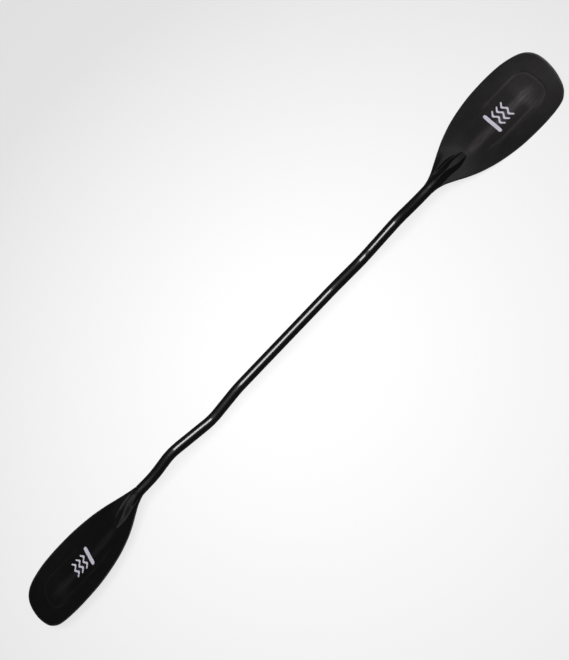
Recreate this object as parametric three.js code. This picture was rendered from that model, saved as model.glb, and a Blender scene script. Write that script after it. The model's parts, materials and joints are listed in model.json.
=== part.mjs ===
// Bent-shaft whitewater kayak paddle: one piece, foam-core carbon blades, 30 degree feather.
// Millimetres, +Z up. X runs along the straight middle of the shaft, the right-hand blade is at +X,
// and both power faces look up. The paddle lies on a floor on one long edge of each blade.
//
// Each half is built in its own blade frame: x outwards along the shaft axis from the middle, y towards
// the blade's top (longer) edge, z out of its power face. A half is then turned about the shaft axis.

import * as THREE from 'three';

// ---- driving dimensions ----

const HALF_LENGTH = 985; // middle of the shaft to the end of a blade
const FEATHER = THREE.MathUtils.degToRad(30);
const RIGHT_ROLL = THREE.MathUtils.degToRad(15.4); // right blade about the shaft, so both blades touch down
const LEFT_ROLL = RIGHT_ROLL - FEATHER;

const TUBE_R = 14.2; // outer radius of the shaft
const TUBE_WALL = 1.6;
const TUBE_SIDES = 16;
const TUBE_END = 530; // where the tube meets the moulded neck of a blade
const GRIP_DEPTH = 1.2; // how much deeper than wide the oval grips are, on each side
const GRIP_FROM = 318;
const GRIP_TO = 384;
const GRIP_FADE = 16;

// Corners of the bent shaft in its own plane, as [x, z, length of the rounding on each side].
const BENDS = [[178, 0, 20], [284, -13.4, 24], [418, 13.8, 24], [491, 0, 22]];

const GAP = 0.3; // between neighbouring pieces
const SKIN = 1.4; // thickness of one laminate
const LAMINATE_GAP = 0.15; // half the bond line between the two skins
const RIM_HALF_WIDTH = 2.4;
const RIM_HALF_THICKNESS = 1.7;
const RIM_START = 560; // the rope fades in from here
const RIM_FULL = 594;
const RIM_LINE_START = 576; // the first point of the rope that is made
const RIM_CLEARANCE = 0.9; // between the rim and the edges of the skins

const SET_BACK = 34; // how far the blade edges lie behind the shaft axis
const DISH = 9.5; // how much deeper than its edges the middle of a blade is
const DISH_FROM = 600;
const DISH_DEEPEST = 805;
const FRONT_RELIEF = 0.5; // rise of the foam core under the power skin
const BACK_RELIEF = 4.5; // rise of the foam core under the back skin
const RELIEF_FROM = 600;
const RELIEF_FULL = 680;
const CORE_SHARE = 0.52; // half-width of the foam core's outline as a share of the blade's
const CORE_START = 660;
const CORE_CLOSES = 872;
const CORE_END = 934;
const CORE_EDGE_HALF_THICKNESS = 0.3;
const CORE_FILL = 0.3; // share of the back relief that the foam fills, up and down from its middle
const CORE_LENS = 0.85;
const CORE_TIP = 924; // the foam ends a little before its outline in the skins
const CORE_WIDTHS = [0.4, 0.88]; // width of the foam as a share of that outline, at its start and beyond
const CORE_WIDENS = [640, 700];

const SPEAR_START = 556; // the neck's ridge leaves the line of the tube here
const SPEAR_END = 664; // and dies into the power face here
const BACK_RIDGE_END = 600; // the back of the neck sinks into the back face from here
const BACK_RIDGE_SLOPE = 0.5;
const NECK_FILLET = 0.6; // fillet between the ridge and the face, at the neck and on the blade
const BLADE_FILLET = 5;
const FILLET_FROM = 545;
const FILLET_TO = 610;
const SPIGOT_R = 11.4;
const SPIGOT_LEAVES_TUBE = 550; // past this it follows the middle of the neck
// Rings of the spigot, as [x, radius]: a chamfer, the part in the tube, then the tongue.
const SPIGOT_RINGS = [
  [494, SPIGOT_R - 2], [497, SPIGOT_R], [545, SPIGOT_R], [560, 10.8], [570, 9.8], [580, 8.4],
  [592, 7], [606, 6.4], [620, 5.4], [634, 4.4],
];

const PLUG_R = 11.9;
const PLUG_FROM = 444;
const PLUG_TO = 464;

const MARK_LIFT = 0.7;
const MARK_THICKNESS = 0.3;
const WAVE_CENTRE = 810;
const WAVE_PITCH = 16;
const WAVE_HALF_LENGTH = 24;
const WAVE_HALF_WIDTH = 3;
const WAVE_SWING = 3.6;
const BAR_CENTRE = 775;
const BAR_HALF_LENGTH = 31;
const BAR_HALF_WIDTH = 5;
const MARK_Y = 4;

// Blade outline from the neck to the tip along each edge, as [x, y].
const TOP_EDGE = [
  [530, 16], [547, 19], [568, 26.3], [593, 39.2], [624, 54.7], [660, 70.7], [710, 86.4], [774, 97.2],
  [838, 99.8], [892, 96.6], [930, 88.6], [957, 77.5], [974, 62], [983, 42],
];
const BOTTOM_EDGE = [
  [530, -16], [547, -17], [568, -22.5], [593, -33.8], [624, -49.3], [660, -64.8], [710, -80.2],
  [774, -91.8], [838, -95.7], [890, -94.6], [928, -89], [948, -78.5], [963, -62], [975, -36], [982, -10],
];
const TIP = [HALF_LENGTH, 18];

// ---- small helpers ----

const clamp01 = (value) => Math.min(Math.max(value, 0), 1);

function smooth(from, to, x) {
  const k = clamp01((x - from) / (to - from));
  return k * k * (3 - 2 * k);
}

function smoothMax(a, b, round) {
  return (a + b + Math.hypot(a - b, round)) / 2;
}

function alongList(list, x) {
  // Smooth curve through [x, y] pairs, by cubic steps with the slopes of a Catmull-Rom spline.
  const last = list.length - 1;
  if (x <= list[0][0]) return list[0][1];
  if (x >= list[last][0]) return list[last][1];
  let i = 0;
  while (x > list[i + 1][0]) i += 1;
  const slope = (k) => {
    const a = list[Math.max(k - 1, 0)];
    const b = list[Math.min(k + 1, last)];
    return (b[1] - a[1]) / (b[0] - a[0]);
  };
  const span = list[i + 1][0] - list[i][0];
  const k = (x - list[i][0]) / span;
  const h = THREE.MathUtils.lerp(list[i][1], list[i + 1][1], k * k * (3 - 2 * k));
  return h + k * (1 - k) * span * ((1 - k) * slope(i) - k * slope(i + 1));
}

// ---- blade surfaces, in the blade frame ----

const EDGE_DROP = [
  [530, 0], [555, -2.5], [575, -7], [600, -14], [630, -21.5], [665, -27], [710, -31], [775, -33.4],
  [850, -SET_BACK], [HALF_LENGTH, -SET_BACK],
];
const RIDGE_HEIGHT = [
  [SPEAR_START - 40, TUBE_R], [SPEAR_START, TUBE_R], [578, 9.4], [602, 0.8], [626, -9.2], [640, -15.2],
  [652, -20.6], [SPEAR_END, -26.4], [700, -48],
];

const outline = new THREE.SplineCurve(
  [...BOTTOM_EDGE, TIP, ...TOP_EDGE.toReversed()].map(([x, y]) => new THREE.Vector2(x, y)),
);
const OUTLINE_POINTS = outline.getSpacedPoints(400);

function insetOutline(inset) {
  // The outline moved inwards by inset(x), as points from the bottom of the neck round to the top.
  return OUTLINE_POINTS.map((point, i) => {
    const before = OUTLINE_POINTS[Math.max(i - 1, 0)];
    const after = OUTLINE_POINTS[Math.min(i + 1, OUTLINE_POINTS.length - 1)];
    const along = after.clone().sub(before).normalize();
    return new THREE.Vector2(-along.y, along.x).multiplyScalar(inset(point.x)).add(point);
  });
}

function edgeAt(points, x, side) {
  // Where a line across the blade at x meets the bottom (-1) or top (+1) stretch of an outline.
  const run = side < 0 ? points : points.toReversed();
  for (let i = 1; i < run.length; i += 1) {
    if (run[i].x >= x) {
      const k = clamp01((x - run[i - 1].x) / Math.max(run[i].x - run[i - 1].x, 1e-6));
      return THREE.MathUtils.lerp(run[i - 1].y, run[i].y, k);
    }
  }
  return run[run.length - 1].y;
}

function halfWidth(x, y) {
  return Math.abs(edgeAt(OUTLINE_POINTS, Math.min(x, HALF_LENGTH - 0.6), y < 0 ? -1 : 1));
}

function middleSurface(x, y) {
  // The plane between the two skins: set back behind the shaft and dished.
  const share = Math.min(Math.abs(y) / halfWidth(x, y), 1);
  const towardsTip = clamp01((x - DISH_DEEPEST) / (HALF_LENGTH - DISH_DEEPEST));
  const depth = DISH * smooth(DISH_FROM, DISH_DEEPEST, x) * (1 - towardsTip * towardsTip);
  return alongList(EDGE_DROP, x) - depth * (1 - share * share);
}

function coreShare(x, y) {
  // 0 on the middle line of the foam core, 1 at its outline, more outside it.
  const across = Math.abs(y) / (CORE_SHARE * halfWidth(Math.min(x, CORE_CLOSES), y));
  const beyond = Math.max(x - CORE_CLOSES, 0) / (CORE_END - CORE_CLOSES);
  return Math.hypot(across ** 1.5, beyond ** 1.5) ** (2 / 3);
}

function coreRise(x, y, inner = 0.8, outer = 1.08) {
  return (1 - smooth(inner, outer, coreShare(x, y))) * smooth(RELIEF_FROM, RELIEF_FULL, x);
}

function ridge(y, top, radius) {
  // Half a tube with its crest at top, and a 45 degree flank on each side.
  const q = Math.min(Math.abs(y) / radius, 1);
  const beyond = Math.max(Math.abs(y) - radius, 0);
  return top - radius * (1 - Math.sqrt(1 - q * q)) - beyond;
}

function fillet(x) {
  return THREE.MathUtils.lerp(NECK_FILLET, BLADE_FILLET, smooth(FILLET_FROM, FILLET_TO, x));
}

function frontFace(x, y, inwards) {
  // Height of the power face, or of a surface that lies inwards of it.
  const face = middleSurface(x, y) + LAMINATE_GAP + SKIN - inwards + FRONT_RELIEF * coreRise(x, y);
  const top = alongList(RIDGE_HEIGHT, x) - inwards;
  return smoothMax(face, ridge(y, top, TUBE_R - inwards), fillet(x));
}

function backFace(x, y, inwards) {
  const face = middleSurface(x, y) - LAMINATE_GAP - SKIN + inwards - BACK_RELIEF * coreRise(x, y);
  const bottom = TUBE_R - inwards - BACK_RIDGE_SLOPE * Math.max(x - BACK_RIDGE_END, 0);
  return -smoothMax(-face, ridge(y, bottom, TUBE_R - inwards), fillet(x));
}

// ---- bodies from rows of points ----

function solid(points, triangles, mirrored) {
  // One closed body. The left half is the mirror image of the right, so its faces turn round.
  const positions = points.flatMap((p) => [mirrored ? -p.x : p.x, p.y, p.z]);
  const index = mirrored ? triangles.flatMap(([a, b, c]) => [a, c, b]) : triangles.flat();
  const geometry = new THREE.BufferGeometry();
  geometry.setAttribute('position', new THREE.Float32BufferAttribute(positions, 3));
  geometry.setIndex(index);
  geometry.computeVertexNormals();
  return geometry;
}

function quad(a, b, c, d) {
  return [[a, b, c], [a, c, d]];
}

function loft(rings, mirrored) {
  // A body through closed rings of equally many points, with flat ends.
  const n = rings[0].length;
  const triangles = [];
  for (let i = 0; i + 1 < rings.length; i += 1) {
    for (let j = 0; j < n; j += 1) {
      const k = (j + 1) % n;
      triangles.push(...quad(i * n + j, i * n + k, (i + 1) * n + k, (i + 1) * n + j));
    }
  }
  const end = (rings.length - 1) * n;
  for (let j = 1; j + 1 < n; j += 1) {
    triangles.push([0, j + 1, j]);
    triangles.push([end, end + j, end + j + 1]);
  }
  return solid(rings.flat(), triangles, mirrored);
}

function pipe(outer, inner) {
  // An open-ended tube between two sets of rings.
  const n = outer[0].length;
  const shift = outer.length * n;
  const triangles = [];
  for (let i = 0; i + 1 < outer.length; i += 1) {
    for (let j = 0; j < n; j += 1) {
      const k = (j + 1) % n;
      const [a, b, c, d] = [i * n + j, i * n + k, (i + 1) * n + k, (i + 1) * n + j];
      triangles.push(...quad(a, b, c, d));
      triangles.push(...quad(shift + a, shift + d, shift + c, shift + b));
    }
  }
  const end = (outer.length - 1) * n;
  for (let j = 0; j < n; j += 1) {
    const k = (j + 1) % n;
    triangles.push(...quad(j, shift + j, shift + k, k));
    triangles.push(...quad(end + j, end + k, shift + end + k, shift + end + j));
  }
  return solid([...outer, ...inner].flat(), triangles, false);
}

function sheet(upper, lower, mirrored) {
  // A closed slab between two grids of points, rows along x and columns towards +y.
  const rows = upper.length;
  const columns = upper[0].length;
  const shift = rows * columns;
  const at = (i, j) => i * columns + j;
  const triangles = [];
  for (let i = 0; i + 1 < rows; i += 1) {
    for (let j = 0; j + 1 < columns; j += 1) {
      triangles.push(...quad(at(i, j), at(i + 1, j), at(i + 1, j + 1), at(i, j + 1)));
      triangles.push(...quad(
        shift + at(i, j), shift + at(i, j + 1), shift + at(i + 1, j + 1), shift + at(i + 1, j),
      ));
    }
  }
  const border = [];
  for (let i = 0; i + 1 < rows; i += 1) border.push(at(i, 0));
  for (let j = 0; j + 1 < columns; j += 1) border.push(at(rows - 1, j));
  for (let i = rows - 1; i > 0; i -= 1) border.push(at(i, columns - 1));
  for (let j = columns - 1; j > 0; j -= 1) border.push(at(0, j));
  border.forEach((a, i) => {
    const b = border[(i + 1) % border.length];
    triangles.push(...quad(a, shift + a, shift + b, b));
  });
  return solid([...upper, ...lower].flat(2), triangles, mirrored);
}

// ---- shaft ----

function halfShaftPath() {
  // Straight stretches and rounded corners in the x-z plane of one half.
  const path = new THREE.CurvePath();
  const corners = [[0, 0, 0], ...BENDS, [TUBE_END - GAP, 0, 0]].map(([x, z, r]) => ({
    at: new THREE.Vector3(x, 0, z), r,
  }));
  let from = corners[0].at;
  for (let i = 1; i < corners.length; i += 1) {
    const { at, r } = corners[i];
    const arriving = at.clone().sub(corners[i - 1].at).normalize();
    const start = at.clone().addScaledVector(arriving, -r);
    path.add(new THREE.LineCurve3(from, start));
    if (i + 1 < corners.length) {
      const leaving = corners[i + 1].at.clone().sub(at).normalize();
      from = at.clone().addScaledVector(leaving, r);
      path.add(new THREE.QuadraticBezierCurve3(start, at, from));
    }
  }
  return path;
}

function shaftStations() {
  // Centre and direction at each ring of one half, from the middle outwards.
  const stations = [];
  halfShaftPath().curves.forEach((curve, i) => {
    const onGrip = curve.isLineCurve3 && i === 4;
    const steps = curve.isLineCurve3 ? (onGrip ? 5 : 1) : 4;
    for (let k = i === 0 ? 0 : 1; k <= steps; k += 1) {
      stations.push({ centre: curve.getPoint(k / steps), along: curve.getTangent(k / steps) });
    }
  });
  return stations;
}

function shaftRing({ centre, along }, radius, depth, roll, side) {
  // A ring square to the shaft. Its corners keep the same angles about X on both halves, so a flat
  // facet of the straight middle looks straight up and another straight down.
  const points = [];
  const acrossAxis = new THREE.Vector3(0, 1, 0);
  const depthAxis = new THREE.Vector3(-along.z, 0, along.x);
  for (let k = 0; k < TUBE_SIDES; k += 1) {
    const angle = ((k + 0.5) / TUBE_SIDES) * 2 * Math.PI - roll;
    const point = centre.clone().addScaledVector(acrossAxis, radius * Math.cos(angle));
    point.addScaledVector(depthAxis, (radius + depth) * Math.sin(angle));
    point.applyAxisAngle(new THREE.Vector3(1, 0, 0), roll);
    point.x *= side;
    points.push(point);
  }
  return points;
}

function gripDepth(x) {
  const begins = smooth(GRIP_FROM - GRIP_FADE, GRIP_FROM, x);
  const ends = smooth(GRIP_TO, GRIP_TO + GRIP_FADE, x);
  return GRIP_DEPTH * begins * (1 - ends);
}

function shaftTube() {
  const stations = shaftStations();
  const rings = (inwards) => {
    const ring = (station, roll, side) => {
      const depth = gripDepth(station.centre.x);
      return shaftRing(station, TUBE_R - inwards, depth, roll, side);
    };
    const left = stations.slice(1).toReversed().map((station) => ring(station, LEFT_ROLL, -1));
    const right = stations.map((station) => ring(station, RIGHT_ROLL, 1));
    return [...left, ...right];
  };
  return pipe(rings(0), rings(TUBE_WALL));
}

function shaftPlug(mirrored) {
  // A foam bulkhead in the straight stretch between the grip's outer bend and the neck.
  const from = new THREE.Vector3(BENDS[2][0], 0, BENDS[2][1]);
  const to = new THREE.Vector3(BENDS[3][0], 0, BENDS[3][1]);
  const along = to.clone().sub(from).normalize();
  const ring = (x) => {
    const centre = from.clone().lerp(to, (x - from.x) / (to.x - from.x));
    return shaftRing({ centre, along }, PLUG_R, 0, 0, 1);
  };
  return loft([ring(PLUG_FROM), ring(PLUG_TO)], mirrored);
}

function neckSpigot(mirrored) {
  // The blade's tongue: round inside the tube, then thinner under the ridge of the neck.
  return loft(SPIGOT_RINGS.map(([x, radius]) => {
    const middle = (frontFace(x, 0, SKIN) + backFace(x, 0, SKIN)) / 2;
    const centre = new THREE.Vector3(x, 0, x < SPIGOT_LEAVES_TUBE ? 0 : middle);
    return shaftRing({ centre, along: new THREE.Vector3(1, 0, 0) }, radius, 0, 0, 1);
  }), mirrored);
}

// ---- blade ----

const STATIONS = [
  TUBE_END, 543, 556, 569, 582, 595, 608, 621, 634, 647, 662, 682, 708, 738, 772, 806, 840, 870, 896,
  918, 938, 954, 966,
];
const SKIN_TIP = 975.5; // last row of the skins, just inside the rim
const WING_STEPS = 4;
const SPEAR_STEPS = 6;
const GUIDE_SPREADS = [640, 720]; // the inner columns spread from the tube's width to the core's here
const TIP_GUIDE_SHARE = 0.5; // and end at this share of the width at the tip

function rimWidth(x) {
  return RIM_HALF_WIDTH * smooth(RIM_START, RIM_FULL, x);
}

const SKIN_OUTLINE = insetOutline((x) => (
  2 * rimWidth(x) + RIM_CLEARANCE * smooth(TUBE_END, RIM_START, x)
));
const RIM_LINE = insetOutline(rimWidth);

function guideHalfWidth(x, side) {
  // Half-width of the inner columns: the tube's at the neck, the foam core's further out.
  const core = CORE_SHARE * Math.abs(edgeAt(SKIN_OUTLINE, Math.min(x, CORE_END), side));
  const tip = TIP_GUIDE_SHARE * Math.abs(edgeAt(SKIN_OUTLINE, x, side));
  const outer = THREE.MathUtils.lerp(core, tip, smooth(CORE_CLOSES, SKIN_TIP, x));
  return THREE.MathUtils.lerp(TUBE_R, outer, smooth(...GUIDE_SPREADS, x));
}

function columns(x) {
  // y of each column of a row across the blade, from the bottom edge to the top edge.
  const bottom = edgeAt(SKIN_OUTLINE, x, -1);
  const top = edgeAt(SKIN_OUTLINE, x, 1);
  const innerBottom = -guideHalfWidth(x, -1);
  const innerTop = guideHalfWidth(x, 1);
  const ys = [];
  for (let k = 0; k < WING_STEPS; k += 1) {
    ys.push(THREE.MathUtils.lerp(bottom, innerBottom, k / WING_STEPS));
  }
  for (let k = 0; k <= SPEAR_STEPS; k += 1) {
    const share = (1 - Math.cos((Math.PI * k) / SPEAR_STEPS)) / 2;
    ys.push(THREE.MathUtils.lerp(innerBottom, innerTop, share));
  }
  for (let k = 1; k <= WING_STEPS; k += 1) {
    ys.push(THREE.MathUtils.lerp(innerTop, top, k / WING_STEPS));
  }
  return ys;
}

function skin(surface, isFront, mirrored) {
  const rows = [...STATIONS, SKIN_TIP];
  const grid = (inwards) => rows.map((x) => (
    columns(x).map((y) => new THREE.Vector3(x, y, surface(x, y, inwards)))
  ));
  const outer = grid(0);
  const inner = grid(SKIN);
  return isFront ? sheet(outer, inner, mirrored) : sheet(inner, outer, mirrored);
}

function foamCore(mirrored) {
  // A lens of foam between the skins, a little smaller all round than the relief that it makes in them.
  const rows = [...STATIONS.filter((x) => x >= CORE_START && x < CORE_TIP), CORE_TIP];
  const shares = [-1, -0.8, -0.5, 0, 0.5, 0.8, 1];
  const grid = (sign) => rows.map((x) => shares.map((share) => {
    const beyond = Math.max(x - CORE_CLOSES, 0) / (CORE_END - CORE_CLOSES);
    const closing = (1 - beyond ** 3) ** (1 / 3);
    const opening = THREE.MathUtils.lerp(...CORE_WIDTHS, smooth(...CORE_WIDENS, x));
    const y = share * closing * opening * CORE_SHARE * halfWidth(Math.min(x, CORE_CLOSES), share);
    const middle = middleSurface(x, y) - CORE_FILL * BACK_RELIEF * coreRise(x, y);
    const thickening = CORE_LENS * coreRise(x, y, 0.6, 0.95);
    const thickness = CORE_EDGE_HALF_THICKNESS + CORE_FILL * BACK_RELIEF * thickening;
    return new THREE.Vector3(x, y, middle + sign * thickness);
  }));
  return sheet(grid(1), grid(-1), mirrored);
}

function edgeRim(mirrored) {
  // A rope of resin-soaked fibre round the edge, from one side of the neck to the other.
  const line = RIM_LINE.filter((point) => point.x > RIM_LINE_START);
  const every = 7;
  const corners = 6;
  const rings = [];
  for (let i = 0; i < line.length; i += every) {
    const before = line[Math.max(i - 1, 0)];
    const after = line[Math.min(i + 1, line.length - 1)];
    const along = after.clone().sub(before).normalize();
    const { x, y } = line[i];
    const z = alongList(EDGE_DROP, x);
    const width = rimWidth(x);
    const thickness = RIM_HALF_THICKNESS * THREE.MathUtils.lerp(0.6, 1, width / RIM_HALF_WIDTH);
    const ring = [];
    for (let k = 0; k < corners; k += 1) {
      const angle = (k / corners) * 2 * Math.PI;
      const beside = width * Math.cos(angle);
      const above = thickness * Math.sin(angle);
      ring.push(new THREE.Vector3(x - along.y * beside, y + along.x * beside, z + above));
    }
    rings.push(ring);
  }
  return loft(rings, mirrored);
}

// ---- painted marks on the power face, as thin plates that follow it ----

function markPlate(centreLine, halfBreadth, mirrored) {
  const upper = [];
  const lower = [];
  [-1, 1].forEach((side) => {
    const row = centreLine.map(({ x, y, tightness }) => {
      const px = x + side * halfBreadth * tightness;
      return new THREE.Vector3(px, y, frontFace(px, y, 0) + MARK_LIFT);
    });
    lower.push(row);
    upper.push(row.map((point) => point.clone().setZ(point.z + MARK_THICKNESS)));
  });
  return sheet(upper, lower, mirrored);
}

function wave(offset, mirrored) {
  const steps = 16;
  const line = [];
  for (let k = 0; k <= steps; k += 1) {
    const share = (2 * k) / steps - 1;
    line.push({
      x: WAVE_CENTRE + offset + WAVE_SWING * Math.cos(share * 2 * Math.PI),
      y: MARK_Y + share * WAVE_HALF_LENGTH,
      tightness: Math.sqrt(1 - 0.85 * share ** 8),
    });
  }
  return markPlate(line, WAVE_HALF_WIDTH, mirrored);
}

function bar(mirrored) {
  const steps = 10;
  const line = [];
  for (let k = 0; k <= steps; k += 1) {
    const share = (2 * k) / steps - 1;
    line.push({
      x: BAR_CENTRE,
      y: MARK_Y + share * BAR_HALF_LENGTH,
      tightness: Math.sqrt(1 - 0.9 * share ** 12),
    });
  }
  return markPlate(line, BAR_HALF_WIDTH, mirrored);
}

// ---- materials ----

const LOOKS = {
  shaftCarbon: { color: 0x0c0c0e, roughness: 0.18 },
  bladeCarbon: { color: 0x1c1b1d, roughness: 0.42 },
  rim: { color: 0x0a0a0a, roughness: 0.5 },
  foam: { color: 0xd9d2bd, roughness: 0.95 },
  laminate: { color: 0x18181a, roughness: 0.6 },
  mark: { color: 0xcac7d3, roughness: 0.45 },
};

function piece(name, geometry, look) {
  const material = new THREE.MeshStandardMaterial({ ...LOOKS[look], metalness: 0 });
  const mesh = new THREE.Mesh(geometry, material);
  mesh.name = name;
  return mesh;
}

// ---- assembly ----

function half(side, roll, mirrored) {
  const group = new THREE.Group();
  group.rotation.x = roll;
  group.add(piece(`${side}_power_skin`, skin(frontFace, true, mirrored), 'bladeCarbon'));
  group.add(piece(`${side}_back_skin`, skin(backFace, false, mirrored), 'bladeCarbon'));
  group.add(piece(`${side}_foam_core`, foamCore(mirrored), 'foam'));
  group.add(piece(`${side}_edge_rim`, edgeRim(mirrored), 'rim'));
  group.add(piece(`${side}_neck_spigot`, neckSpigot(mirrored), 'laminate'));
  group.add(piece(`${side}_shaft_plug`, shaftPlug(mirrored), 'foam'));
  group.add(piece(`${side}_bar_mark`, bar(mirrored), 'mark'));
  [-1, 0, 1].forEach((row) => {
    const name = `${side}_wave_mark_${row + 2}`;
    group.add(piece(name, wave(row * WAVE_PITCH, mirrored), 'mark'));
  });
  return group;
}

const paddle = new THREE.Group();
paddle.add(piece('shaft_tube', shaftTube(), 'shaftCarbon'));
paddle.add(half('right', RIGHT_ROLL, false));
paddle.add(half('left', LEFT_ROLL, true));

// The origin is under the middle of the box round the paddle, on the floor it lies on.
paddle.updateMatrixWorld(true);
const box = new THREE.Box3().setFromObject(paddle, true);
const centre = box.getCenter(new THREE.Vector3());
paddle.position.set(-centre.x, -centre.y, -box.min.z);

export default paddle;
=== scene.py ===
"""Looks of a bent-shaft whitewater kayak paddle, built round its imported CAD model.

Shapes are worked out in millimetres in a blade frame: x outwards along the shaft from the middle of the
paddle, y towards the blade's top (longer) edge, z out of its power face. place() turns each half about the
shaft and brings it to the shared frame, in metres.
"""

import json
import math

import bmesh
import bpy
import numpy as np
from mathutils import Matrix, Vector


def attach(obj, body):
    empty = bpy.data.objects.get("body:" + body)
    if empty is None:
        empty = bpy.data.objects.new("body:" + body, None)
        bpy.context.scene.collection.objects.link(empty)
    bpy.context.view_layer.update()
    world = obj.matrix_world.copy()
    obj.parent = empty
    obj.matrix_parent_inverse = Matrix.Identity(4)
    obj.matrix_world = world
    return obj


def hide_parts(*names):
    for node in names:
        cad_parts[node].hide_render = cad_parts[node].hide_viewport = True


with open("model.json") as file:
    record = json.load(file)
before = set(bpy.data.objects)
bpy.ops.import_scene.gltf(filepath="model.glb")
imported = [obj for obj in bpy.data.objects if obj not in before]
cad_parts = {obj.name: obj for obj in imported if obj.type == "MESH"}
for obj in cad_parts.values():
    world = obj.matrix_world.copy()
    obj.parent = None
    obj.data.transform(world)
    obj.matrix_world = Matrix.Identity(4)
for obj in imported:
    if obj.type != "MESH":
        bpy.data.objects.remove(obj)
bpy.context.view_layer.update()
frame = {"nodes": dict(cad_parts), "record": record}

# ---- driving dimensions, in millimetres in the blade frame ----

FEATHER = math.radians(30)  # turn between the two blades
RIGHT_ROLL = math.radians(15.4)  # lean of the right-hand power face
ROLL = {"right": RIGHT_ROLL, "left": RIGHT_ROLL - FEATHER}
SIDE = {"right": 1, "left": -1}

TUBE_R = 14.2
TUBE_WALL = 1.6
TUBE_END = 530
JOINT_GAP = 0.05  # between the tube and the blade at the neck joint
GRIP_DEPTH = 1.2  # by which the tube is deeper than round, above and below, at the grips
GRIP = (318, 384)  # the full depth holds over this stretch
GRIP_FADE = 40
# corners of the bent shaft's line: (x, z, reach of the rounding)
BENDS = [(178, 0, 20), (284, -13.4, 24), (418, 13.8, 24), (491, 0, 22)]

TIP_X = 985
TIP = (TIP_X, 18)
TIP_MARGIN = 0.6  # widths are measured no nearer to the tip than this, so that none is 0
# corners of the blade's outline, from the neck to the tip: (x, y)
TOP_EDGE = [
    (530, 14.5), (547, 18), (568, 26.3), (593, 39.2), (624, 54.7), (660, 70.7), (710, 86.4), (774, 97.2),
    (838, 99.8), (892, 96.6), (930, 88.6), (957, 77.5), (974, 62), (983, 42),
]
BOTTOM_EDGE = [
    (530, -14.5), (547, -16.4), (568, -22.5), (593, -33.8), (624, -49.3), (660, -64.8), (710, -80.2),
    (774, -91.8), (838, -95.7), (890, -94.6), (928, -89), (948, -78.5), (963, -62), (975, -36), (982, -10),
]
SET_BACK = 34  # of the blade's edges behind the shaft's axis
# height of the edges: (x, z)
EDGE_DROP = [
    (530, 0), (555, -2.5), (575, -7), (600, -14), (630, -21.5), (665, -27), (710, -31), (775, -33.4),
    (850, -SET_BACK), (TIP_X, -SET_BACK),
]

SKIN = 1.4  # thickness of each laminate
LAMINATE_GAP = 0.15  # between a laminate and the middle surface
DISH = 9.5  # depth of the hollow at its deepest
DISH_FROM = 600
DISH_DEEPEST = 805
CORE_SHARE = 0.52  # width of the foam core, as a share of the blade's
CORE_BEVEL = (0.92, 1.06)  # its bevelled border, in shares of its half width
CORE_STARTS = (600, 680)  # it rises over this stretch
CORE_CLOSES = 872  # its round end starts here
CORE_END = 934
CORE_ROUNDING = 3  # power of the superellipse at its end: 2 is an ellipse, more is squarer
FRONT_RELIEF = 0.5  # by which the core lifts the power face
FRONT_RELIEF_GROWS = (700, 800)
BACK_RELIEF = 4.5

RIM_HALF_WIDTH = 2.4
RIM_HALF_THICKNESS = 1.7
RIM_THINNEST = 0.6  # share of its thickness that the rope has where it starts
RIM_WIDENS = (560, 594)
RIM_STARTS = 566
RIM_MARGIN = 0.05  # the rope stands this far past the outline
RIM_COVER = 1.2  # the skins end under the rope, this many of its half widths inside the outline

NECK_FILLET = 0.6  # of both faces where the neck is round
FRONT_FILLET = 2
BACK_FILLET = 5
FRONT_FILLET_GROWS = (545, 600)
BACK_FILLET_GROWS = (545, 610)
BACK_RIDGE_FALLS_FROM = 600  # from here the back of the neck sinks into the back face
BACK_RIDGE_SLOPE = 0.5
SPEAR_START = 556
SPEAR_END = 664
# height of the spear's crest: (x, z)
RIDGE_HEIGHT = [
    (SPEAR_START - 40, TUBE_R), (SPEAR_START, TUBE_R), (578, 9.4), (602, 0.8), (626, -9.2), (640, -15.2),
    (652, -20.6), (SPEAR_END, -26.4), (700, -48),
]
KEEL_FROM = (548, 598)  # over this stretch the round neck sharpens into a keel
KEEL_RADIUS = 2.6  # rounding of the keel's crest
KEEL_FLANK = 1.24  # slope of its flanks
KEEL_FLATTENS = (588, 636)  # over this stretch the crest widens to a flat top
KEEL_FLAT_HALF_WIDTH = 6.3
# crest of the shoulder beside the spear: (x, y), and its height over the face: (x, height)
SHOULDER = [(556, 14), (575, 20), (600, 23), (626, 22), (650, 16.5), (662, 14)]
SHOULDER_HEIGHT = [
    (556, 0), (575, 2.2), (595, 3.5), (622, 4.2), (642, 3.3), (656, 1.2), (670, 0.2), (684, 0),
]
SHOULDER_INSIDE = 6  # width of the shoulder's side that faces the spear
SHOULDER_OUTSIDE = 34  # and of its other side, which dies into the face

RIB_Y = -3  # the low rib that runs on from the spear
RIB_HEIGHT = 0.8
RIB_HALF_WIDTH = 10
RIB_RISES = (658, 688)
BEAD_HEIGHT = 0.35  # low beads along the foam core
BEAD_HALF_WIDTH = 3.2
LOWER_BEAD_Y = -35
LOWER_BEAD_SWING = -6
LOWER_BEAD_SWINGS = (712, 760)
LOWER_BEAD_RISES = (700, 735)
UPPER_BEAD_Y = 51
UPPER_BEAD_RISES = (780, 810)
END_BEAD_SPREAD = 0.045  # in shares of the core's half width
END_BEAD_RISES = (875, 905)
PAD_HEIGHT = 0.42  # low pad over the end of the core
PAD_Y = -16
PAD_HALF_WIDTH = 40
PAD_RISES = (858, 890)
WEAR_AND_SHEEN_HEIGHT = 0.7  # a rib this high is fully worn and carries the full painted highlight
POLISH_FADES = (548, 566)  # from the polished neck to the blade's cloth

MARK_LIFT = 0.1  # over the power face
MARK_THICKNESS = 0.25
MARK_Y = 4
WAVE_CENTRE = 810
WAVE_PITCH = 16
WAVE_HALF_LENGTH = 24
WAVE_HALF_WIDTH = 3
WAVE_SWING = 3.6
BAR_CENTRE = 775
BAR_HALF_LENGTH = 31
BAR_HALF_WIDTH = 5
WAVE_END = (0.85, 8)  # how far the ends narrow, and how suddenly
BAR_END = (0.9, 12)

# ---- fineness of the meshes ----

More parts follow.
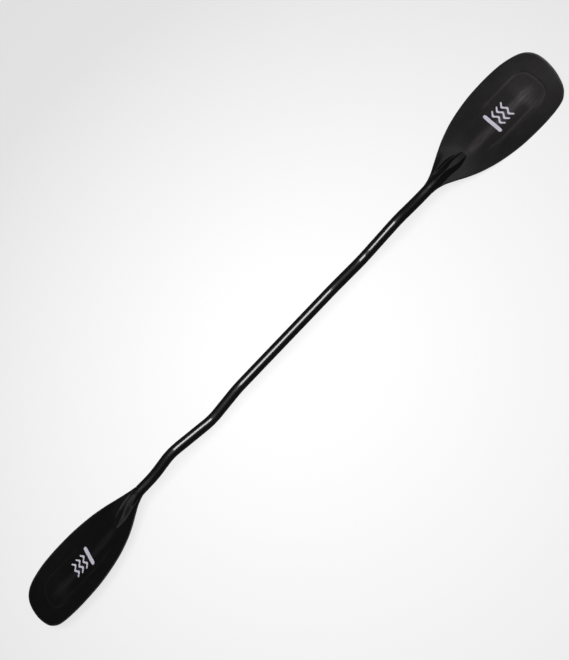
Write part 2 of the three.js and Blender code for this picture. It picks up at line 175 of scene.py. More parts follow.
OUTLINE_POINTS = 2001
SPLINE_STEPS = 30  # between two corners of a spline
SHAFT_CORNERS = 64
SHAFT_STEP = 1.5  # mm
BEND_STEPS = 24
ROWS = 300
COLUMNS = 64
COLUMN_CROWDING = 1.4  # over 1, the columns stand closer near the spine
ROW_EVENNESS = 0.2  # share of equal steps in the rows' spacing along the spine
SPINE_END = (945, 18)
SPINE_CURVES_FROM = 760
CLOSE_ROW = 0.03  # of a step, between the cut end of a skin and its second row
RIM_RINGS = 700
RIM_STEP = 1.4  # mm between rings, near enough for the cloth map
RIM_CORNERS = 14
MARK_STEPS = 61
MARK_COLUMNS = 9
SHARP_ANGLE = math.radians(50)
MERGE_WITHIN = 1e-6  # metres

mounts = [Vector(mount["pos_m"]) for mount in frame["record"]["mounts"]]
SHAFT_AXIS = sum(mounts, Vector()) / len(mounts)


# ---- curves ----

def smooth(start, end, x):
    """0 before start, 1 after end, and a smooth step between them."""
    k = np.clip((x - start) / (end - start), 0, 1)
    return k * k * (3 - 2 * k)


def smooth_max(a, b, rounding):
    """The larger of two values, with a fillet where they meet."""
    return (a + b + np.hypot(a - b, rounding)) / 2


def along_list(pairs, x):
    """Height at x of a smooth curve through (x, height) pairs, by cubic steps with the slopes of a
    Catmull-Rom spline."""
    xs, ys = np.array(pairs, float).T
    slopes = np.gradient(ys)
    slopes[1:-1] = (ys[2:] - ys[:-2]) / (xs[2:] - xs[:-2])
    slopes[0] = (ys[1] - ys[0]) / (xs[1] - xs[0])
    slopes[-1] = (ys[-1] - ys[-2]) / (xs[-1] - xs[-2])
    x = np.clip(x, xs[0], xs[-1])
    i = np.clip(np.searchsorted(xs, x) - 1, 0, len(xs) - 2)
    span = xs[i + 1] - xs[i]
    k = (x - xs[i]) / span
    h = ys[i] + (ys[i + 1] - ys[i]) * k * k * (3 - 2 * k)
    return h + k * (1 - k) * span * ((1 - k) * slopes[i] - k * slopes[i + 1])


def respaced(points, count):
    """The polyline's points moved to equal steps along it."""
    steps = np.hypot(*np.diff(points, axis=0).T)
    run = np.concatenate([[0], np.cumsum(steps)])
    even = np.linspace(0, run[-1], count)
    return np.column_stack([np.interp(even, run, points[:, k]) for k in (0, 1)])


def spline(corners, count):
    """Equally spaced points on the uniform Catmull-Rom spline through the corners."""
    p = np.array([corners[0], *corners, corners[-1]], float)
    t = np.linspace(0, 1, SPLINE_STEPS, endpoint=False)[:, None]
    pieces = []
    for p0, p1, p2, p3 in zip(p, p[1:], p[2:], p[3:]):
        v0, v1 = (p2 - p0) / 2, (p3 - p1) / 2
        a, b = 2 * p1 - 2 * p2 + v0 + v1, -3 * p1 + 3 * p2 - 2 * v0 - v1
        pieces.append(a * t ** 3 + b * t ** 2 + v0 * t + p1)
    return respaced(np.vstack([*pieces, p[-1:]]), count)


OUTLINE = spline([*BOTTOM_EDGE, TIP, *reversed(TOP_EDGE)], OUTLINE_POINTS)


def inset(distance):
    """The outline moved inwards by distance(x)."""
    along = np.gradient(OUTLINE, axis=0)
    along /= np.linalg.norm(along, axis=1)[:, None]
    inwards = np.column_stack([-along[:, 1], along[:, 0]])
    return OUTLINE + inwards * distance(OUTLINE[:, 0])[:, None]


def edge_at(points, x, side):
    """y where a line across the blade at x meets the bottom (-1) or top (+1) edge."""
    tip = int(np.argmax(points[:, 0]))
    run = points[:tip + 1] if side < 0 else points[tip:][::-1]
    return np.interp(x, run[:, 0], run[:, 1])


# ---- blade surfaces ----

def half_width(x, y):
    """Distance from the shaft's line to the edge of the blade on the side of y."""
    x = np.minimum(x, TIP_X - TIP_MARGIN)
    return np.abs(np.where(y < 0, edge_at(OUTLINE, x, -1), edge_at(OUTLINE, x, 1)))


def middle_surface(x, y):
    """The surface between the two skins: set back behind the shaft and dished."""
    share = np.minimum(np.abs(y) / half_width(x, y), 1)
    towards_tip = np.clip((x - DISH_DEEPEST) / (TIP_X - DISH_DEEPEST), 0, 1)
    depth = DISH * smooth(DISH_FROM, DISH_DEEPEST, x) * (1 - towards_tip ** 2)
    return along_list(EDGE_DROP, x) - depth * (1 - share ** 2)


def core_share(x, y):
    """0 on the middle line of the foam core, 1 at its outline, more outside it."""
    across = np.abs(y) / (CORE_SHARE * half_width(np.minimum(x, CORE_CLOSES), y))
    beyond = np.clip((x - CORE_CLOSES) / (CORE_END - CORE_CLOSES), 0, 2)
    power = CORE_ROUNDING / 2
    return np.hypot(across ** power, beyond ** power) ** (1 / power)


def core_rise(x, y):
    """1 over the foam core, 0 outside it, with a bevel between."""
    return (1 - smooth(*CORE_BEVEL, core_share(x, y))) * smooth(*CORE_STARTS, x)


def ridge(y, top, radius):
    """Height of a half-round ridge, falling at 45 degrees beyond its radius."""
    q = np.minimum(np.abs(y) / radius, 1)
    beyond = np.maximum(np.abs(y) - radius, 0)
    return top - radius * (1 - np.sqrt(1 - q * q)) - beyond


def spear(x, y):
    """The ridge of the neck: round where it leaves the tube, then a keel with a widening flat crest."""
    top = along_list(RIDGE_HEIGHT, x)
    flat = KEEL_FLAT_HALF_WIDTH * smooth(*KEEL_FLATTENS, x)
    offset = np.maximum(np.abs(y) - flat, 0)
    keel = top - KEEL_FLANK * (np.hypot(offset, KEEL_RADIUS) - KEEL_RADIUS)
    sharpness = smooth(*KEEL_FROM, x)
    return (1 - sharpness) * ridge(y, top, TUBE_R) + sharpness * keel


def shoulder(x, y):
    """Height of the moulded shoulder beside the spear, on the top edge's side, over the face."""
    offset = y - along_list(SHOULDER, x)
    inside = np.clip(1 + offset / SHOULDER_INSIDE, 0, 1)
    room = np.minimum(SHOULDER_OUTSIDE, half_width(x, y) - along_list(SHOULDER, x))
    outside = (1 + np.cos(math.pi * np.clip(offset / room, 0, 1))) / 2
    return np.maximum(along_list(SHOULDER_HEIGHT, x), 0) * inside * outside


def bump_at(value, middle, spread):
    """1 at the middle, dying away to both sides."""
    return np.exp(-((value - middle) / spread) ** 2)


def ribs(x, y):
    """Height of the low ribs that the foam core and the tongue print through the power face."""
    closing = 1 - smooth(CORE_CLOSES, CORE_END, x)
    rib = RIB_HEIGHT * bump_at(y, RIB_Y, RIB_HALF_WIDTH) * smooth(*RIB_RISES, x) * closing
    lower_y = LOWER_BEAD_Y + LOWER_BEAD_SWING * smooth(*LOWER_BEAD_SWINGS, x)
    lower = bump_at(y, lower_y, BEAD_HALF_WIDTH) * smooth(*LOWER_BEAD_RISES, x)
    upper = bump_at(y, UPPER_BEAD_Y, BEAD_HALF_WIDTH) * smooth(*UPPER_BEAD_RISES, x)
    end = smooth(*END_BEAD_RISES, x) * bump_at(core_share(x, y), 1, END_BEAD_SPREAD)
    pad = PAD_HEIGHT * smooth(*PAD_RISES, x) * bump_at(y, PAD_Y, PAD_HALF_WIDTH)
    return rib + (BEAD_HEIGHT * (lower + upper) + pad) * closing + BEAD_HEIGHT * end


def front_face(x, y):
    """Height of the power face, with the spear."""
    rise = FRONT_RELIEF * core_rise(x, y) * smooth(*FRONT_RELIEF_GROWS, x)
    face = middle_surface(x, y) + LAMINATE_GAP + SKIN + rise + ribs(x, y) + shoulder(x, y)
    fillet = NECK_FILLET + (FRONT_FILLET - NECK_FILLET) * smooth(*FRONT_FILLET_GROWS, x)
    return smooth_max(face, spear(x, y), fillet)


def back_face(x, y):
    """Height of the back face, with the back of the neck."""
    face = middle_surface(x, y) - LAMINATE_GAP - SKIN - BACK_RELIEF * core_rise(x, y)
    bottom = TUBE_R - BACK_RIDGE_SLOPE * np.maximum(x - BACK_RIDGE_FALLS_FROM, 0)
    fillet = NECK_FILLET + (BACK_FILLET - NECK_FILLET) * smooth(*BACK_FILLET_GROWS, x)
    return -smooth_max(-face, ridge(y, bottom, TUBE_R), fillet)


# ---- from the blade frame to Blender ----

def place(points, side):
    """Points of one half, in millimetres in its blade frame, as metres in the shared frame."""
    x, y, z = np.asarray(points, float).T
    c, s = math.cos(ROLL[side]), math.sin(ROLL[side])
    turned = np.column_stack([x * SIDE[side], y * c - z * s, y * s + z * c])
    return turned / 1000 + np.array(SHAFT_AXIS)


def make_piece(name, points, faces, uvs, material, nodes, flip=False):
    """A smooth mesh object in the shared frame, standing for the nodes. uvs are a (u, v) in metres for each
    point, along the cloth and across it."""
    if flip:
        faces = [face[::-1] for face in faces]
    mesh = bpy.data.meshes.new(name)
    mesh.from_pydata([tuple(p) for p in points], [], faces)
    layer = mesh.uv_layers.new(name="cloth")
    corners = np.zeros(len(mesh.loops), int)
    mesh.loops.foreach_get("vertex_index", corners)
    layer.data.foreach_set("uv", np.asarray(uvs, float)[corners].ravel())
    merged = bmesh.new()
    merged.from_mesh(mesh)
    bmesh.ops.remove_doubles(merged, verts=merged.verts, dist=MERGE_WITHIN)
    merged.to_mesh(mesh)
    merged.free()
    mesh.polygons.foreach_set("use_smooth", [True] * len(mesh.polygons))
    mesh.set_sharp_from_angle(angle=SHARP_ANGLE)
    mesh.materials.append(material)
    piece = bpy.data.objects.new(name, mesh)
    bpy.context.scene.collection.objects.link(piece)
    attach(piece, "root")
    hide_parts(*nodes)
    return piece


def grid_faces(rows, columns, first=0):
    """Quads of a grid whose points are numbered row by row from first."""
    corners = [first + i * columns + j for i in range(rows - 1) for j in range(columns - 1)]
    return [(a, a + columns, a + columns + 1, a + 1) for a in corners]


def ring_faces(rings, corners, first=0):
    """Quads between rings of points, numbered ring by ring from first."""
    faces = []
    for ring in range(first, first + (rings - 1) * corners, corners):
        for j in range(corners):
            a, b = ring + j, ring + (j + 1) % corners
            faces.append((a, b, b + corners, a + corners))
    return faces


def neck_gloss(x):
    """1 on the polished neck, 0 on the blade's cloth."""
    return 1 - smooth(*POLISH_FADES, x)


def mark_wear_and_sheen(piece, is_front):
    """Stores the neck's polish on the mesh, and the wear of the raised ribs, which also carries a painted
    highlight along them.
    """
    mesh = piece.data
    places = np.zeros(2 * len(mesh.loops))
    mesh.uv_layers["cloth"].data.foreach_get("uv", places)
    x, y = 1000 * places.reshape(-1, 2).T
    wear_and_sheen = np.clip(ribs(x, y) / WEAR_AND_SHEEN_HEIGHT, 0, 1) if is_front else 0 * x
    for name, values in (("neck", neck_gloss(x)), ("wear_and_sheen", wear_and_sheen)):
        attribute = mesh.attributes.new(name, "FLOAT", "CORNER")
        attribute.data.foreach_set("value", values.astype(np.float32))


# ---- materials: lengths in metres ----

BLADE_TOW = 0.002  # width of the carbon tows
BLADE_DARK = (0.011, 0.0102, 0.0104)
BLADE_LIGHT = (0.036, 0.0335, 0.0345)
# pale colour of the worn ribs, which also stands in for a painted highlight along them
BLADE_WORN_SHEEN = (0.105, 0.093, 0.099)
BLADE_ROUGHNESS = (0.36, 0.43)
NECK_ROUGHNESS = 0.38
WORN_SHEEN_STREAKS = (0.36, 0.64)  # from unworn to fully scuffed and painted bright, in the streaks' noise
WORN_SHEEN_AMOUNT = (0.3, 0.8)
SHAFT_TOW = 0.0015
SHAFT_DARK = (0.013, 0.013, 0.0135)
SHAFT_LIGHT = (0.042, 0.041, 0.044)
SHAFT_ROUGHNESS = (0.36, 0.46)
TOW_RELIEF = 0.0002
GRAIN_RELIEF = 0.0003


def new_material(name):
    """A material with its node tree and shader."""
    material = bpy.data.materials.new(name)
    material.use_nodes = True
    return material, material.node_tree, material.node_tree.nodes["Principled BSDF"]


def add(tree, kind, operation=None, **values):
    """A node with its inputs set: a socket to link from, or a plain value."""
    node = tree.nodes.new(kind)
    if operation:
        node.operation = operation
    for key, value in values.items():
        socket = node.inputs[int(key[1:]) if key[1:].isdigit() else key.replace("_", " ")]
        if isinstance(value, bpy.types.NodeSocket):
            tree.links.new(value, socket)
        else:
            socket.default_value = value
    return node


def maths(tree, operation, a, b=0.0):
    """Output of a maths node on one or two values."""
    return add(tree, "ShaderNodeMath", operation, i0=a, i1=b).outputs[0]


def weighted_sum(tree, *terms):
    """Sum of values by their weights, from (value, weight) pairs."""
    parts = [maths(tree, "MULTIPLY", value, weight) for value, weight in terms]
    total = parts[0]
    for part in parts[1:]:
        total = maths(tree, "ADD", total, part)
    return total


def blend_value(tree, factor, low, high, start=0.0, end=1.0):
    """low where the factor is start or less, high where it is end or more."""
    node = add(
        tree, "ShaderNodeMapRange", Value=factor, From_Min=start, From_Max=end, To_Min=low, To_Max=high,
    )
    return node.outputs["Result"]


def carbon_cloth(tree, tow):
    """Twill of carbon tows of one width: (height, 1 where the lengthwise tow is on top, cloth map)."""
    uv = add(tree, "ShaderNodeUVMap")
    uv.uv_map = "cloth"
    split = add(tree, "ShaderNodeSeparateXYZ", Vector=uv.outputs["UV"])
    along = maths(tree, "DIVIDE", split.outputs["X"], tow)
    across = maths(tree, "DIVIDE", split.outputs["Y"], tow)
    step = maths(tree, "ADD", maths(tree, "FLOOR", along), maths(tree, "FLOOR", across))
    # each tow goes over two others and under two
    on_top = maths(tree, "LESS_THAN", maths(tree, "FLOORED_MODULO", step, 4.0), 2.0)

    def crown(position):
        """Height across a tow: 1 on its middle, 0 at its edges."""
        offset = maths(tree, "SUBTRACT", maths(tree, "FRACT", position), 0.5)
        return maths(tree, "SUBTRACT", 1.0, maths(tree, "MULTIPLY", maths(tree, "POWER", offset, 2.0), 4.0))

    lengthwise, crosswise = crown(across), crown(along)
    height = add(tree, "ShaderNodeMix", i0=on_top, i2=crosswise, i3=lengthwise).outputs[0]
    return height, on_top, uv.outputs["UV"]


def streaks(tree, uv, stretch, scale, detail=3.0):
    """Noise drawn out along the fibres."""
    mapping = add(tree, "ShaderNodeMapping", Vector=uv, Scale=stretch)
    noise = add(tree, "ShaderNodeTexNoise", Vector=mapping.outputs["Vector"], Scale=scale, Detail=detail)
    return noise.outputs["Fac"]


def colour_between(tree, factor, dark, light):
    """dark where the factor is 0, light where it is 1."""
    ramp = add(tree, "ShaderNodeValToRGB", Fac=factor)
    ramp.color_ramp.elements[0].color = (*dark, 1)
    ramp.color_ramp.elements[1].color = (*light, 1)
    return ramp.outputs["Color"]


def stored(tree, name):
    """A value that is stored on the mesh."""
    node = add(tree, "ShaderNodeAttribute")
    node.attribute_name = name
    return node.outputs["Fac"]


def set_surface(tree, shader, colour, roughness, height, strength, relief):
    """Links a colour, a roughness and a bump to the shader."""
    tree.links.new(colour, shader.inputs["Base Color"])
    tree.links.new(roughness, shader.inputs["Roughness"])
    bump = add(tree, "ShaderNodeBump", Height=height, Strength=strength, Distance=relief)
    tree.links.new(bump.outputs["Normal"], shader.inputs["Normal"])


def coat(shader, weight, roughness):
    """Fibres that shine like a dark metal, under clear resin."""
    shader.inputs["Metallic"].default_value = 1
    shader.inputs["Coat Weight"].default_value = weight
    shader.inputs["Coat Roughness"].default_value = roughness


def blade_carbon():
    """Streaked twill carbon cloth under a thin clear resin, paler where the ribs are worn; the paler colour
    is also a painted highlight along the ribs.
    """
    material, tree, shader = new_material("blade_carbon")
    height, on_top, uv = carbon_cloth(tree, BLADE_TOW)
    lines = streaks(tree, uv, stretch=(5, 190, 1), scale=4)
    clouds = streaks(tree, uv, stretch=(1, 2.5, 1), scale=16, detail=2)
    scuff_and_sheen_streaks = streaks(tree, uv, stretch=(5, 90, 1), scale=4)
    level = weighted_sum(tree, (lines, 0.6), (on_top, 0.12), (clouds, 0.35))
    cloth = colour_between(tree, level, BLADE_DARK, BLADE_LIGHT)
    amount = blend_value(tree, scuff_and_sheen_streaks, *WORN_SHEEN_AMOUNT, *WORN_SHEEN_STREAKS)
    # paler colour on the raised ribs: partly wear, partly a painted highlight
    worn_sheen = maths(tree, "MULTIPLY", stored(tree, "wear_and_sheen"), amount)
    colour = add(tree, "ShaderNodeMixRGB", Fac=worn_sheen, Color1=cloth, Color2=(*BLADE_WORN_SHEEN, 1))
    rough = blend_value(tree, clouds, *BLADE_ROUGHNESS)
    rough = add(tree, "ShaderNodeMix", i0=stored(tree, "neck"), i2=rough, i3=NECK_ROUGHNESS)
    set_surface(
        tree, shader, colour.outputs["Color"], rough.outputs[0], height, strength=0.25, relief=TOW_RELIEF,
    )
    coat(shader, weight=0.8, roughness=0.2)
    return material


def shaft_carbon():
    """Fine carbon braid under a polished clear coat."""
    material, tree, shader = new_material("shaft_carbon")
    height, on_top, uv = carbon_cloth(tree, SHAFT_TOW)
    lines = streaks(tree, uv, stretch=(6, 120, 1), scale=4)
    level = weighted_sum(tree, (lines, 0.6), (on_top, 0.25))
    colour = colour_between(tree, level, SHAFT_DARK, SHAFT_LIGHT)
    rough = blend_value(tree, lines, *SHAFT_ROUGHNESS)
    set_surface(tree, shader, colour, rough, height, strength=0.12, relief=TOW_RELIEF)
    coat(shader, weight=1, roughness=0.11)
    return material


def plain(name, dark, light, roughness, scale):
    """A fine-grained material with a colour that varies between two."""
    material, tree, shader = new_material(name)
    where = add(tree, "ShaderNodeTexCoord").outputs["Object"]
    noise = add(tree, "ShaderNodeTexNoise", Vector=where, Scale=scale, Detail=4.0).outputs["Fac"]
    colour = colour_between(tree, noise, dark, light)
    rough = blend_value(tree, noise, roughness - 0.06, roughness + 0.06)
    set_surface(tree, shader, colour, rough, noise, strength=0.2, relief=GRAIN_RELIEF)
    return material


BLADE = blade_carbon()
SHAFT = shaft_carbon()
ROPE = plain("edge_rope", (0.003, 0.003, 0.003), (0.008, 0.0078, 0.0078), 0.42, 900)
MARK = plain("mark", (0.52, 0.5, 0.6), (0.66, 0.63, 0.74), 0.45, 700)
FOAM = plain("foam", (0.6, 0.55, 0.42), (0.75, 0.7, 0.56), 0.9, 600)
LAMINATE = plain("laminate", (0.008, 0.008, 0.009), (0.02, 0.02, 0.021), 0.55, 500)


# ---- shaft ----

def half_path():
    """Points (x, z) along one half of the bent shaft, from its middle outwards."""
    corners = [(0, 0, 0), *BENDS, (TUBE_END - JOINT_GAP, 0, 0)]
    at = [np.array(corner[:2], float) for corner in corners]
    line = [at[0]]
    for before, here, after, (_, _, rounding) in zip(at, at[1:], at[2:], corners[1:]):
        start = here + (before - here) / np.linalg.norm(before - here) * rounding
        end = here + (after - here) / np.linalg.norm(after - here) * rounding
        for k in np.linspace(0, 1, BEND_STEPS):
            line.append((1 - k) ** 2 * start + 2 * k * (1 - k) * here + k * k * end)
    line.append(at[-1])
    line = np.array(line)
    length = np.hypot(*np.diff(line, axis=0).T).sum()
    return respaced(line, int(length / SHAFT_STEP) + 1)


def grip_depth(x):
    """By how much the tube is deeper than round at x."""
    start, end = GRIP
    return GRIP_DEPTH * smooth(start - GRIP_FADE, start, x) * (1 - smooth(end, end + GRIP_FADE, x))


def shaft_rings(side, inwards):
    """Rings of points round one half of the tube, at a depth of inwards under its surface."""
    path = half_path()
    along = np.gradient(path, axis=0)
    along /= np.linalg.norm(along, axis=1)[:, None]
    angles = np.linspace(0, 2 * math.pi, SHAFT_CORNERS, endpoint=False) - ROLL[side]
    rings = []
    for (x, z), (dx, dz) in zip(path, along):
        across = (TUBE_R - inwards) * np.cos(angles)
        depth = (TUBE_R - inwards + grip_depth(x)) * np.sin(angles)
        ring = np.column_stack([x - dz * depth, across, z + dx * depth])
        rings.append(place(ring, side))
    return rings


def make_shaft():
    """One open-ended tube from neck to neck, with its bore."""
    shells = []
    for inwards in (0, TUBE_WALL):
        left = shaft_rings("left", inwards)[:0:-1]
        shells.append([*left, *shaft_rings("right", inwards)])
    count = len(shells[0])
    shift = count * SHAFT_CORNERS
    outer = ring_faces(count, SHAFT_CORNERS)
    inner = [face[::-1] for face in ring_faces(count, SHAFT_CORNERS, shift)]
    ends = []
    for first, turn in ((0, 1), (shift - SHAFT_CORNERS, -1)):
        for j in range(SHAFT_CORNERS):
            a, b = first + j, first + (j + 1) % SHAFT_CORNERS
            ends.append((a, shift + a, shift + b, b)[::turn])
    points = np.vstack(shells[0] + shells[1])
    turns = np.arange(SHAFT_CORNERS) / SHAFT_CORNERS * 2 * math.pi * TUBE_R / 1000
    uvs = np.column_stack([points[:, 0], np.tile(turns, 2 * count)])
    return make_piece("shaft", points, outer + inner + ends, uvs, SHAFT, ["shaft_tube"])


# ---- blades ----

def rim_width(x):
    """Half width of the rope edge."""
    return RIM_HALF_WIDTH * smooth(*RIM_WIDENS, x)


SKIN_EDGE = inset(lambda x: RIM_COVER * rim_width(x))
RIM_LINE = inset(rim_width)


def skin_grid():
    """x and y of a grid over one skin. Rows spread like barbs from a spine to both edges, and the last row
    closes the grid at the tip, where its two halves meet."""
    tip = int(np.argmax(SKIN_EDGE[:, 0]))
    bottom = respaced(SKIN_EDGE[:tip + 1], ROWS)
    top = respaced(SKIN_EDGE[tip:][::-1], ROWS)
    share = np.linspace(0, 1, ROWS)
    mean_x = (bottom[:, 0] + top[:, 0]) / 2
    following = (mean_x - TUBE_END) / (mean_x[-1] - TUBE_END)
    reach = (1 - ROW_EVENNESS) * following + ROW_EVENNESS * share
    end_x, end_y = SPINE_END
    spine_x = TUBE_END + (end_x - TUBE_END) * reach
    spine = np.column_stack([spine_x, end_y * smooth(SPINE_CURVES_FROM, end_x, spine_x)])
    spread = (np.arange(1, COLUMNS + 1) / COLUMNS) ** COLUMN_CROWDING
    towards = lambda edge: [spine + (edge - spine) * k for k in spread]
    grid = np.stack([*reversed(towards(bottom)), spine, *towards(top)], axis=1)
    # the close second row keeps the shading of the cut end off the neck
    beside_neck = (1 - CLOSE_ROW) * grid[:1] + CLOSE_ROW * grid[1:2]
    return np.concatenate([grid[:1], beside_neck, grid[1:]])


def make_skin(side, surface, name, node):
    """One laminate, from its outer surface inwards."""
    grid = skin_grid()
    flat = grid.reshape(-1, 2)
    points = np.column_stack([flat, surface(flat[:, 0], flat[:, 1])])
    faces = grid_faces(grid.shape[0], grid.shape[1])
    flip = (side == "left") != (surface is back_face)
    piece = make_piece(
        name, place(points, side), faces, flat / 1000, BLADE, [node], flip,
    )
    mark_wear_and_sheen(piece, surface is front_face)
    shell = piece.modifiers.new("laminate", "SOLIDIFY")
    shell.thickness = SKIN / 1000
    shell.offset = -1
    return piece


def make_rim(side):
    """The fibre rope round the edge, from one side of the neck to the other."""
    line = respaced(RIM_LINE[RIM_LINE[:, 0] > RIM_STARTS], RIM_RINGS)
    along = np.gradient(line, axis=0)
    along /= np.linalg.norm(along, axis=1)[:, None]
    angles = np.linspace(0, 2 * math.pi, RIM_CORNERS, endpoint=False)
    rings = []
    for (x, y), (dx, dy) in zip(line, along):
        width = rim_width(x) + RIM_MARGIN
        thickness = RIM_HALF_THICKNESS * (RIM_THINNEST + (1 - RIM_THINNEST) * width / RIM_HALF_WIDTH)
        beside = width * np.cos(angles)
        ring = np.column_stack([
            x - dy * beside, y + dx * beside, along_list(EDGE_DROP, x) + thickness * np.sin(angles),
        ])
        rings.append(ring)
    points = np.vstack(rings)
    faces = [face[::-1] for face in ring_faces(len(rings), RIM_CORNERS)]
    last = (len(rings) - 1) * RIM_CORNERS
    faces += [tuple(range(RIM_CORNERS)), tuple(last + j for j in reversed(range(RIM_CORNERS)))]
    run = np.repeat(np.arange(len(rings)) * RIM_STEP, RIM_CORNERS)
    uvs = np.column_stack([run, np.tile(angles * RIM_HALF_WIDTH, len(rings))]) / 1000
    return make_piece(
        f"{side}_rim", place(points, side), faces, uvs, ROPE, [f"{side}_edge_rim"],
        side == "left",
    )


# ---- marks ----

def narrowing(share, amount, power):
    """Share of the full breadth along a stroke that runs from -1 to 1."""
    return np.sqrt(1 - amount * share ** power)


def make_plate(name, node, centre_line, half_breadth, side):
    """A thin painted plate along a centre line of (x, y, share of the breadth)."""
    x, y, breadth = centre_line.T
    columns = np.linspace(-1, 1, MARK_COLUMNS)
    layers = []
    for lift in (MARK_LIFT + MARK_THICKNESS, MARK_LIFT):
        px = x[:, None] + columns[None, :] * half_breadth * breadth[:, None]
        py = np.repeat(y[:, None], len(columns), axis=1)
        layers.append(np.stack([px, py, front_face(px, py) + lift], axis=-1).reshape(-1, 3))
    rows, wide = len(x), len(columns)
    faces = [face[::-1] for face in grid_faces(rows, wide)] + grid_faces(rows, wide, rows * wide)
    border = [i * wide for i in range(rows - 1)]
    border += [(rows - 1) * wide + j for j in range(wide - 1)]
    border += [i * wide + wide - 1 for i in range(rows - 1, 0, -1)]
    border += list(range(wide - 1, 0, -1))
    for a, b in zip(border, border[1:] + border[:1]):
        faces.append((a, b, rows * wide + b, rows * wide + a))
    points = np.vstack(layers)
    uvs = points[:, :2] / 1000
    return make_piece(name, place(points, side), faces, uvs, MARK, [node], side == "left")


def make_marks(side):
    """Three wave strokes and a bar, across the power face."""
    share = np.linspace(-1, 1, MARK_STEPS)
    for row in (-1, 0, 1):
        line = np.column_stack([
            WAVE_CENTRE + row * WAVE_PITCH + WAVE_SWING * np.cos(share * 2 * math.pi),
            MARK_Y + share * WAVE_HALF_LENGTH,
            narrowing(share, *WAVE_END),
        ])
        make_plate(f"{side}_wave_{row + 2}", f"{side}_wave_mark_{row + 2}", line, WAVE_HALF_WIDTH, side)
    line = np.column_stack([
        np.full_like(share, BAR_CENTRE), MARK_Y + share * BAR_HALF_LENGTH, narrowing(share, *BAR_END),
    ])
    make_plate(f"{side}_bar", f"{side}_bar_mark", line, BAR_HALF_WIDTH, side)


def dress_inner_nodes():
    """Procedural materials for the hidden CAD solids that stay."""
    looks = {"foam_core": FOAM, "shaft_plug": FOAM, "neck_spigot": LAMINATE}
    for side in SIDE:
        for ending, material in looks.items():
            node = frame["nodes"][f"{side}_{ending}"]
            node.data.materials.clear()
            node.data.materials.append(material)


# ---- stage: lengths in metres ----

FLOOR_REACH = 60
FLOOR_REFLECTED = (0.08, 0.08, 0.08)  # colour of the floor in the paddle's gloss
FLOOR_SEEN = (0.16, 0.16, 0.16)  # and to the camera, to which it also glows
FLOOR_PAINTED_GLOW = (0.86, 0.66)  # painted pool of light, seen by the camera only: brighter near the middle of the paddle, dimmer at its ends
FLOOR_PAINTED_GLOW_FADES = (0.2, 1.25)
ROOM_LIGHT = (0.055, 0.055, 0.056)
ROOM_SEEN = (0.8, 0.8, 0.8)


def make_floor():
    """A large floor, brighter to the camera than to the paddle's reflections, with a painted pool of light
    round the paddle's middle that only the camera sees.
    """
    mesh = bpy.data.meshes.new("floor")
    corners = [(x * FLOOR_REACH, y * FLOOR_REACH, 0) for x, y in ((-1, -1), (1, -1), (1, 1), (-1, 1))]
    mesh.from_pydata(corners, [], [(0, 1, 2, 3)])
    material, tree, shader = new_material("floor")
    shader.inputs["Roughness"].default_value = 1
    shader.inputs["Specular IOR Level"].default_value = 0
    seen = add(tree, "ShaderNodeLightPath").outputs["Is Camera Ray"]
    tree.links.new(colour_between(tree, seen, FLOOR_REFLECTED, FLOOR_SEEN), shader.inputs["Base Color"])
    where = add(tree, "ShaderNodeTexCoord").outputs["Object"]
    far = add(tree, "ShaderNodeVectorMath", "LENGTH", i0=where).outputs["Value"]
    # painted pool of light: the camera-only glow fades from the paddle's middle outwards
    painted_glow = blend_value(tree, far, *FLOOR_PAINTED_GLOW, *FLOOR_PAINTED_GLOW_FADES)
    tree.links.new(maths(tree, "MULTIPLY", seen, painted_glow), shader.inputs["Emission Strength"])
    shader.inputs["Emission Color"].default_value = (1, 1, 1, 1)
    mesh.materials.append(material)
    floor = bpy.data.objects.new("floor", mesh)
    bpy.context.scene.collection.objects.link(floor)


def add_light(name, position, target, size, watts):
    """A rectangular area light that the camera doesn't see."""
    data = bpy.data.lights.new(name, "AREA")
    data.shape = "RECTANGLE"
    data.size, data.size_y = size
    data.energy = watts
    light = bpy.data.objects.new(name, data)
    light.location = position
    light.visible_camera = False
    light.rotation_euler = (Vector(target) - Vector(position)).to_track_quat("-Z", "Y").to_euler()
    bpy.context.scene.collection.objects.link(light)


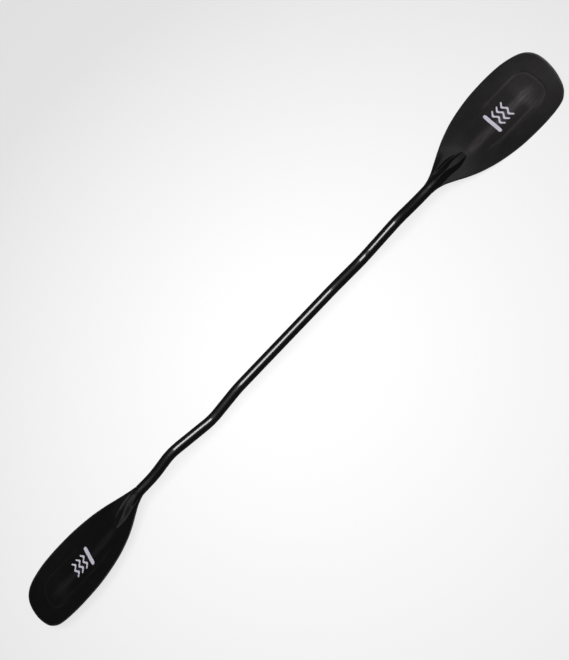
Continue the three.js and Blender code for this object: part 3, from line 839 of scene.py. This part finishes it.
def make_lights():
    """A softbox over the shaft, a panel beyond each blade and a dim room."""
    add_light(
        "softbox", position=(-0.04, -0.42, 3.0), target=(-0.04, 0, 0), size=(1.2, 1.7), watts=82,
    )
    for side, sign in SIDE.items():
        add_light(
            f"{side}_panel", position=(2.9 * sign, -0.35, 2.1), target=(0.8 * sign, -0.05, 0),
            size=(3.2, 1.4), watts=7.5,
        )
    world = bpy.data.worlds.new("room")
    bpy.context.scene.world = world
    world.use_nodes = True
    tree = world.node_tree
    seen = add(tree, "ShaderNodeLightPath").outputs["Is Camera Ray"]
    colour = colour_between(tree, seen, ROOM_LIGHT, ROOM_SEEN)
    tree.links.new(colour, tree.nodes["Background"].inputs["Color"])


CAMERA_LEAN = math.radians(25.07)  # from straight above, towards -Y
CAMERA_TILT = math.radians(2.29)  # towards the right-hand blade
CAMERA_DISTANCE = 2.196
CAMERA_TURN = math.radians(46.27)  # slant of the shaft in the picture
FRAMING_LIFT = 0.0228
FRAMING_SHIFT = -0.0013
LENS = 46.46  # mm
SENSOR_WIDTH = 36  # mm


def make_camera():
    """The photographer's view: from above and a little from -Y, with the shaft on a diagonal."""
    back = Vector((
        math.sin(CAMERA_TILT),
        -math.sin(CAMERA_LEAN) * math.cos(CAMERA_TILT),
        math.cos(CAMERA_LEAN) * math.cos(CAMERA_TILT),
    ))
    along = (Vector((1, 0, 0)) - back * back.x).normalized()
    beside = back.cross(along)
    right = along * math.cos(CAMERA_TURN) - beside * math.sin(CAMERA_TURN)
    up = along * math.sin(CAMERA_TURN) + beside * math.cos(CAMERA_TURN)
    data = bpy.data.cameras.new("camera")
    data.lens = LENS
    data.sensor_width = SENSOR_WIDTH
    camera = bpy.data.objects.new("camera", data)
    bpy.context.scene.collection.objects.link(camera)
    camera.location = SHAFT_AXIS + back * CAMERA_DISTANCE
    aim = SHAFT_AXIS + up * FRAMING_LIFT + right * FRAMING_SHIFT
    back = (camera.location - aim).normalized()
    right = (right - back * right.dot(back)).normalized()
    up = back.cross(right)
    camera.rotation_mode = "QUATERNION"
    camera.rotation_quaternion = Matrix((right, up, back)).transposed().to_quaternion()
    bpy.context.scene.camera = camera


make_camera()
make_lights()
make_floor()
bpy.context.scene.view_settings.view_transform = "Standard"

make_shaft()
for side in SIDE:
    make_skin(side, front_face, f"{side}_power_face", f"{side}_power_skin")
    make_skin(side, back_face, f"{side}_back_face", f"{side}_back_skin")
    make_rim(side)
    make_marks(side)
dress_inner_nodes()
